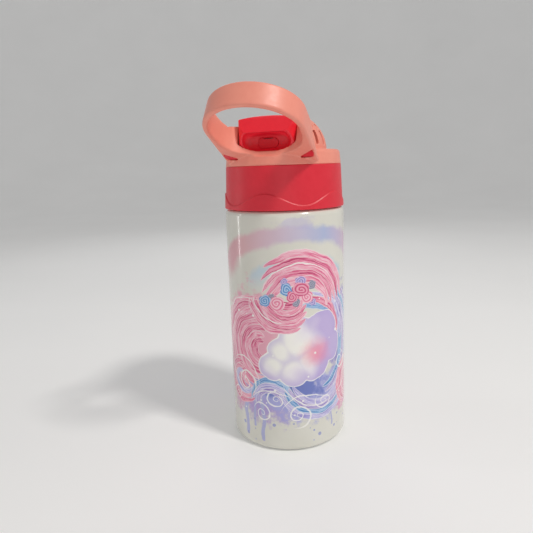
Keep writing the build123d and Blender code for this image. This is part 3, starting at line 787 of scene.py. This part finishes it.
# share of the way across, and colour
outer_arch = (
    (0.0, tone(218, 110, 140)), (0.22, tone(230, 172, 182)), (0.5, tone(198, 190, 220)),
    (0.62, tone(164, 178, 222)), (0.8, tone(206, 172, 208)), (1.0, tone(210, 90, 136)),
)
inner_arch = (
    (0.0, tone(176, 196, 226)), (0.4, tone(192, 216, 230)), (0.7, tone(150, 202, 228)),
    (1.0, tone(96, 168, 220)),
)
# middle, half size, colour and strength
pools = (
    ((-22, 68), (24, 30), tone(236, 160, 184), 0.9),
    ((-34, 52), (15, 30), tone(206, 96, 140), 0.9),
    ((36, 66), (18, 32), tone(142, 132, 204), 0.95),
    ((43, 62), (9, 24), tone(84, 146, 208), 0.9),
    ((-12, 33), (34, 19), tone(180, 158, 214), 1.0),
    ((14, 32), (40, 17), tone(168, 170, 224), 1.0),
    ((2, 38), (24, 8), tone(92, 112, 190), 0.85),
    ((-34, 32), (12, 12), tone(222, 150, 190), 0.85),
    ((41, 27), (14, 13), tone(232, 146, 188), 0.9),
)
# place round the body, lower and upper end, and half width
paint_runs = (
    (-27, 7.5, 34, 1.5),
    (-15.5, 6, 30, 1.2),
    (-21, 14, 30, 0.8),
    (27, 12, 26, 0.7),
)


def lay_ground(g, colour, point, flat):
    """Two rainbow arches, pools of wash, the drips below them and spatter."""
    colour = paint_wash(g, colour, point, (6, 129), (13, 4), tone(196, 190, 222), strength=0.55)
    colour = paint_arch(
        g, colour, point, centre=(8, 97), size=(57, 30), inner=0.74, outer=1.04, stops=outer_arch,
        strength=0.8,
    )
    colour = paint_arch(
        g, colour, point, centre=(8, 95), size=(52, 30), inner=0.36, outer=0.58, stops=inner_arch,
        strength=0.8,
    )
    for centre, size, ink, strength in pools:
        colour = paint_wash(g, colour, point, centre, size, ink, strength)
    colour = paint_drips(g, colour, point, paint_runs, tone(178, 180, 222))
    return paint_spots(
        g, colour, flat, scale=0.34, size=0.36, low=3, high=20, ink=tone(142, 150, 208), strength=0.8,
    )


# centre, radius, gap, count, half width, middle, half span, twist, inks
rear_sweeps = (
    fan(12, 62, 38, 3.4, 5, 3.0, -2, 66, -2, violet_inks, blue_inks, lilac_inks)
    + fan(12, 68, 26, 3.0, 3, 2.4, 30, 46, 1, violet_inks, lilac_inks, magenta_inks)
    + fan(9, 82, 30, 3.3, 5, 2.7, 70, 62, 2, pink_inks, magenta_inks)
    + fan(-14, 62, 30, 3.4, 8, 3.0, 158, 76, 3, pink_inks, magenta_inks)
    + fan(-30, 40, 12, 2.8, 3, 2.2, 200, 120, 2, magenta_inks, pink_inks, lilac_inks)
    + fan(-9, 30, 12, 2.8, 3, 2.0, 84, 100, 2, blue_inks, lilac_inks, violet_inks)
)
front_sweeps = (
    fan(2, 92, 22, 3.1, 6, 2.6, 236, 52, -2, pink_inks, magenta_inks)
    + fan(15, 46, 26, 3.0, 4, 2.2, 264, 56, 3, lilac_inks, blue_inks, violet_inks)
    + fan(48, 34, 15, 3.2, 4, 2.6, 166, 70, 1, pink_inks, magenta_inks)
)
# centre and radius of each heap of the cloud, and where light falls on it
cloud_lumps = (
    (-9, 51, 8.5), (3, 48, 9), (14, 52, 11), (25, 60, 9.5), (20, 70, 11.5), (6, 67, 12), (-4, 60, 8),
)
cloud_light = (-2, 60)


def lay_sweeps(g, colour, point):
    """Locks of brush strands behind a heaped cloud with a blush, then those in front of it."""
    colour = paint_locks(g, colour, point, rear_sweeps)
    colour = paint_cloud(g, colour, point, cloud_lumps, cloud_light)
    colour = paint_wash(
        g, colour, point, (16, 58), (13, 11), tone(246, 130, 160), strength=0.75, soft=1.0, ragged=0.1,
    )
    return paint_locks(g, colour, point, front_sweeps)


# centre, size, hand and phase
white_curls = (
    (-27, 39, 8.5, 1, 0.0), (5, 22, 8.0, 1, 1.0), (-16, 22, 6.5, -1, 2.0), (-7, 31, 6.0, 1, 4.0),
    (35, 48, 7.0, -1, 0.5), (21, 29, 6.0, 1, 3.0), (-35, 29, 5.0, -1, 3.0),
)
# centre, radius, middle and half span
white_wisps = (
    (-10, 20, 16, 95, 60), (12, 14, 20, 100, 55), (16, 48, 21, 250, 60), (-22, 52, 20, 200, 70),
    (-22, 68, 21, 130, 70), (8, 84, 24, 100, 60), (30, 44, 14, 330, 80), (-4, 92, 16, 230, 60),
    (22, 60, 24, 350, 60), (-30, 40, 13, 60, 80),
)
# centre, size, phase and inks; the small ones come first and lie underneath
rose_spray = (
    (8, 99, 2.6, 0.5, violet_inks), (13.5, 96, 2.4, 1.5, leaf_inks), (5, 87, 2.2, 0.5, leaf_inks),
    (-8, 90, 2.4, 2.0, leaf_inks), (14, 87, 2.4, 2.6, violet_inks), (-1, 98, 2.2, 0.2, violet_inks),
    (-12, 88, 4.2, 0.5, blue_inks), (0.5, 94, 3.8, 2.0, blue_inks), (-4.9, 86.5, 4.2, 1.0, pink_inks),
    (3, 90, 3.4, 2.4, magenta_inks), (11, 89.5, 3.8, 3.6, pink_inks), (8, 94, 4.6, 0.0, magenta_inks),
)


def lay_details(g, colour, point, flat):
    """White curls and wisps, a spray of roses, and fine white spatter."""
    colour = paint_curls(g, colour, point, white_curls)
    colour = paint_wisps(g, colour, point, white_wisps)
    colour = paint_roses(g, colour, point, rose_spray)
    return paint_spots(
        g, colour, flat, scale=0.26, size=0.2, low=18, high=92, ink=white_ink, strength=0.9,
    )


hand_sway = 4.0                       # the painted lines wander by this much, in mm
hand_shake = 0.6
print_edge = 45.0                     # the print fades to paper from here, round the body
print_end = 50.5
coat_end = rim / mm + 0.9             # bare steel above this height


def make_print():
    """Gloss-coated steel with a pastel watercolour of sweeps, roses and a cloud, twice round."""
    made, g = material("printed_gloss_coat", Coat_Weight=0.6, Coat_Roughness=0.06, IOR=1.5)
    x, y, z = g.split(g.place)
    radius = body_radius / mm
    turned = g.math("ARCTAN2", x, g.math("MULTIPLY", y, -1.0))
    turned = g.math("WRAP", g.math("SUBTRACT", turned, front), pi / 2, -pi / 2)
    flat = g.xyz(g.math("MULTIPLY", turned, radius), z)
    elsewhere = g.vector("ADD", flat, (0, 0, 40))
    warp = g.xyz(g.noise(flat, 0.08, 1.0)["Fac"], g.noise(elsewhere, 0.08, 1.0)["Fac"])
    fine = g.xyz(g.noise(flat, 0.5, 1.0)["Fac"], g.noise(elsewhere, 0.5, 1.0)["Fac"])
    shift = g.vector("ADD", g.scaled(warp, hand_sway), g.scaled(fine, hand_shake))
    mean_shift = (hand_sway + hand_shake) / 2
    point = g.vector("SUBTRACT", g.vector("ADD", flat, shift), (mean_shift, mean_shift, 0))

    paper = g.mix(g.noise(g.place, 0.05, 3.0)["Fac"], tone(214, 212, 200), tone(230, 229, 220))
    colour = lay_ground(g, paper, point, flat)
    colour = lay_sweeps(g, colour, point)
    colour = lay_details(g, colour, point, flat)
    torn = g.spread(g.noise(g.after(point, colour), 0.16, 3.0, 0.6)["Fac"], -2.5, 2.5)
    border = g.math("ADD", g.math("ABSOLUTE", g.math("MULTIPLY", turned, radius)), torn)
    colour = g.mix(g.step(border, print_edge, print_end), colour, paper)

    grime = g.noise(flat, 0.5, 4.0, 0.65)["Fac"]
    neck = g.step(z, coat_end, coat_end + 0.3)
    steel_skin = g.use(
        brushing, Point=g.xyz(g.math("MULTIPLY", turned, streak_turn), radius, z),
        Tint=neck_tint, Gloss=0.26, Depth=0.25,
    )
    g.feed(g.shader["Base Color"], g.mix(neck, colour, steel_skin["Color"]))
    g.feed(g.shader["Metallic"], neck)
    coat = g.scale(grime, 0.35, 0.7, 0.13, 0.2)
    bare = g.math("MULTIPLY", steel_skin["Roughness"], neck)
    g.feed(g.shader["Roughness"], g.math("MAXIMUM", coat, bare))
    peel = g.noise(g.place, 0.35, 2.0)["Fac"]
    g.feed(g.shader["Normal"], g.bump(peel, 0.2, 0.05 * mm))
    return made


# ---- finishes --------------------------------------------------------------------------------

print_coat = make_print()
neck_steel = steel("brushed_steel_neck", neck_tint, gloss=0.28, depth=0.3, around=True)
red_plastic = plastic(
    "red_lid_plastic", tone(228, 42, 61), tone(218, 34, 52), gloss=0.4, grain=0.5,
)
salmon_plastic = plastic(
    "salmon_handle_plastic", tone(244, 156, 136), tone(238, 144, 126), gloss=0.42, grain=0.5,
)
spout_red = spout_plastic()
# the mouthpiece's red silicone, made darker crimson as painted shade of the recess it sits in
shaded_mouth_red = plastic(
    "red_silicone_painted_shade", tone(216, 10, 36), tone(200, 6, 30), gloss=0.62, grain=0.8,
)
soft_red = plastic(
    "soft_red_silicone", tone(226, 24, 46), tone(210, 18, 40), gloss=0.5, grain=0.8, Sheen_Weight=0.1,
)
clear_silicone = plastic(
    "milky_silicone", tone(232, 232, 226), tone(218, 220, 214), gloss=0.48, grain=0.6,
)
white_plastic = plastic(
    "white_insert_plastic", tone(238, 236, 230), tone(228, 226, 218), gloss=0.36, grain=0.4,
)
straw_plastic = plastic(
    "milky_straw_plastic", tone(236, 238, 238), tone(224, 228, 230), gloss=0.25, grain=0.2,
    Transmission_Weight=0.2,
)
liner_steel = steel("brushed_liner_steel", (0.66, 0.65, 0.63, 1), gloss=0.3, depth=0.35, around=True)
base_steel = steel("turned_base_steel", (0.6, 0.59, 0.57, 1), gloss=0.32, depth=0.45, around=True)
pin_steel = steel("polished_pin_steel", (0.7, 0.7, 0.69, 1), gloss=0.16, depth=0.12, around=False)
copper_foil = steel("copper_foil", (0.86, 0.48, 0.33, 1), gloss=0.22, depth=0.3, around=True)
getter_metal = steel("sintered_getter_metal", (0.3, 0.3, 0.31, 1), gloss=0.6, depth=0.8, around=False)
bead_glass = plastic(
    "dark_seal_bead", tone(74, 58, 48), tone(54, 42, 36), gloss=0.18, grain=0.3,
)

node_finishes = {
    "inner_liner": liner_steel,
    "radiation_foil": copper_foil,
    "outer_base": base_steel,
    "base_cover": base_steel,
    "sealing_bead": bead_glass,
    "getter_cup": liner_steel,
    "getter": getter_metal,
    "cap_gasket": clear_silicone,
    "cap_insert": white_plastic,
    "hinge_pins": pin_steel,
    "spout_tube": clear_silicone,
    "mouthpiece": shaded_mouth_red,
    "port_seal": clear_silicone,
    "straw_socket": white_plastic,
    "socket_seal": clear_silicone,
    "straw": straw_plastic,
    "vent_valve": clear_silicone,
    "vent_cap": soft_red,
}
for node_name, node_finish in node_finishes.items():
    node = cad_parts[node_name]
    if not node.data.materials:
        node.data.materials.append(node_finish)
    for slot in node.material_slots:
        slot.material = node_finish

# ---- pieces ----------------------------------------------------------------------------------

def finish(obj, body, slot, look, *nodes):
    """Gives a piece its material and body, and hides the CAD nodes that it stands for; the slot is not
    used.
    """
    obj.data.materials.clear()
    obj.data.materials.append(look)
    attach(obj, body)
    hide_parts(*nodes)


finish(make_body(), "bottle", "coated_steel", print_coat, "outer_shell")
for thread in make_threads():
    finish(thread, "bottle", "coated_steel", neck_steel, "outer_shell")
finish(make_skirt(), "lid", "red_plastic", red_plastic, "cap_shell")
finish(make_deck(), "lid", "red_plastic", red_plastic, "cap_shell")
for side in (-1, 1):
    finish(make_catch(side), "lid", "red_plastic", red_plastic, "cap_shell")
finish(make_handle(), "lid", "salmon_plastic", salmon_plastic, "handle_collar")
finish(make_spout(), "spout", "spout_red", spout_red, "spout_shell", "spout_base")

# ---- floor and backdrop ----------------------------------------------------------------------

def make_studio():
    """Pale floor that curves up into a round wall."""
    reach = 3.2
    height = 1.7
    bend = 1.5
    bm = bmesh.new()
    corners = [bm.verts.new((x, 0, z)) for x, z in ((0, 0), (reach, 0), (reach, height))]
    for start, end in zip(corners, corners[1:]):
        bm.edges.new((start, end))
    bmesh.ops.bevel(
        bm, geom=[corners[1]], offset=bend, offset_type="OFFSET", segments=16, profile=0.5,
        affect="VERTICES", material=-1,
    )
    bmesh.ops.spin(
        bm, geom=bm.verts[:] + bm.edges[:], cent=(0, 0, 0), axis=(0, 0, 1), dvec=(0, 0, 0),
        angle=2 * pi, steps=96, use_merge=True,
    )
    bmesh.ops.remove_doubles(bm, verts=bm.verts, dist=mm)
    bmesh.ops.recalc_face_normals(bm, faces=bm.faces)
    bmesh.ops.reverse_faces(bm, faces=bm.faces)
    return piece("studio_floor", bm)


def pale_floor():
    """Matt off-white, faintly clouded, with a trace of its own light as a lit studio has."""
    made, g = material(
        "pale_floor", Roughness=0.7, Emission_Color=(1, 1, 1, 1), Emission_Strength=0.12,
    )
    cloud = g.noise(g.place, 0.004, 2.0)["Fac"]
    g.feed(g.shader["Base Color"], g.mix(cloud, tone(230, 230, 230), tone(240, 240, 240)))
    return made


studio = make_studio()
studio.data.materials.append(pale_floor())

# ---- light -----------------------------------------------------------------------------------

world = bpy.data.worlds.new("soft_sky")
bpy.context.scene.world = world
world.use_nodes = True
sky = world.node_tree.nodes["Background"]
sky.inputs["Color"].default_value = (1.0, 0.995, 0.98, 1)
sky.inputs["Strength"].default_value = 0.33
bottle_middle = Vector((0, 0, 0.12))


def lamp(name, place, width, height, power, colour=(1, 1, 1)):
    """Area light, unseen itself, aimed at the middle of the bottle."""
    light = bpy.data.lights.new(name, "AREA")
    light.shape = "RECTANGLE"
    light.size = width
    light.size_y = height
    light.energy = power
    light.color = colour
    obj = bpy.data.objects.new(name, light)
    bpy.context.scene.collection.objects.link(obj)
    obj.visible_camera = False
    aim = bottle_middle - Vector(place)
    turned = aim.to_track_quat("-Z", "Y").to_matrix().to_4x4()
    obj.matrix_world = Matrix.Translation(place) @ turned


lamp("key", (0.56, -0.22, 0.92), width=0.12, height=0.12, power=5.0, colour=(1.0, 0.97, 0.93))
lamp("fill", (0.25, -0.9, 0.35), width=0.5, height=0.5, power=0.5)
lamp("strip", (-0.75, -0.12, 0.22), width=0.03, height=0.7, power=0.4)
lamp("back", (-0.3, 0.7, 0.6), width=0.6, height=0.6, power=0.8)

bpy.context.scene.view_settings.view_transform = "Standard"

# ---- camera ----------------------------------------------------------------------------------

eye_turn = front                      # round Z, from -Y
eye_distance = 0.28352                # from the bottle's axis
eye_height = 0.15764
pitch = 0.19967                       # down, in radians
yaw = -0.04022
roll = -0.03422
sensor_width = 36
lens_share = 0.916041                 # focal length, as a share of the sensor's width


def make_camera():
    """Looks down a little on the front of the bottle from close by, slightly tilted."""
    forward = Vector((sin(yaw) * cos(pitch), cos(yaw) * cos(pitch), -sin(pitch)))
    level = Vector((cos(yaw), -sin(yaw), 0))
    up = level.cross(forward)
    right = cos(roll) * level + sin(roll) * up
    upright = -sin(roll) * level + cos(roll) * up
    aim = Matrix([right, upright, -forward]).transposed().to_4x4()
    camera = bpy.data.objects.new("camera", bpy.data.cameras.new("camera"))
    bpy.context.scene.collection.objects.link(camera)
    camera.data.sensor_width = sensor_width
    camera.data.lens = sensor_width * lens_share
    eye = Matrix.Translation((0, -eye_distance, eye_height))
    camera.matrix_world = Matrix.Rotation(eye_turn, 4, "Z") @ eye @ aim
    return camera


bpy.context.scene.camera = make_camera()
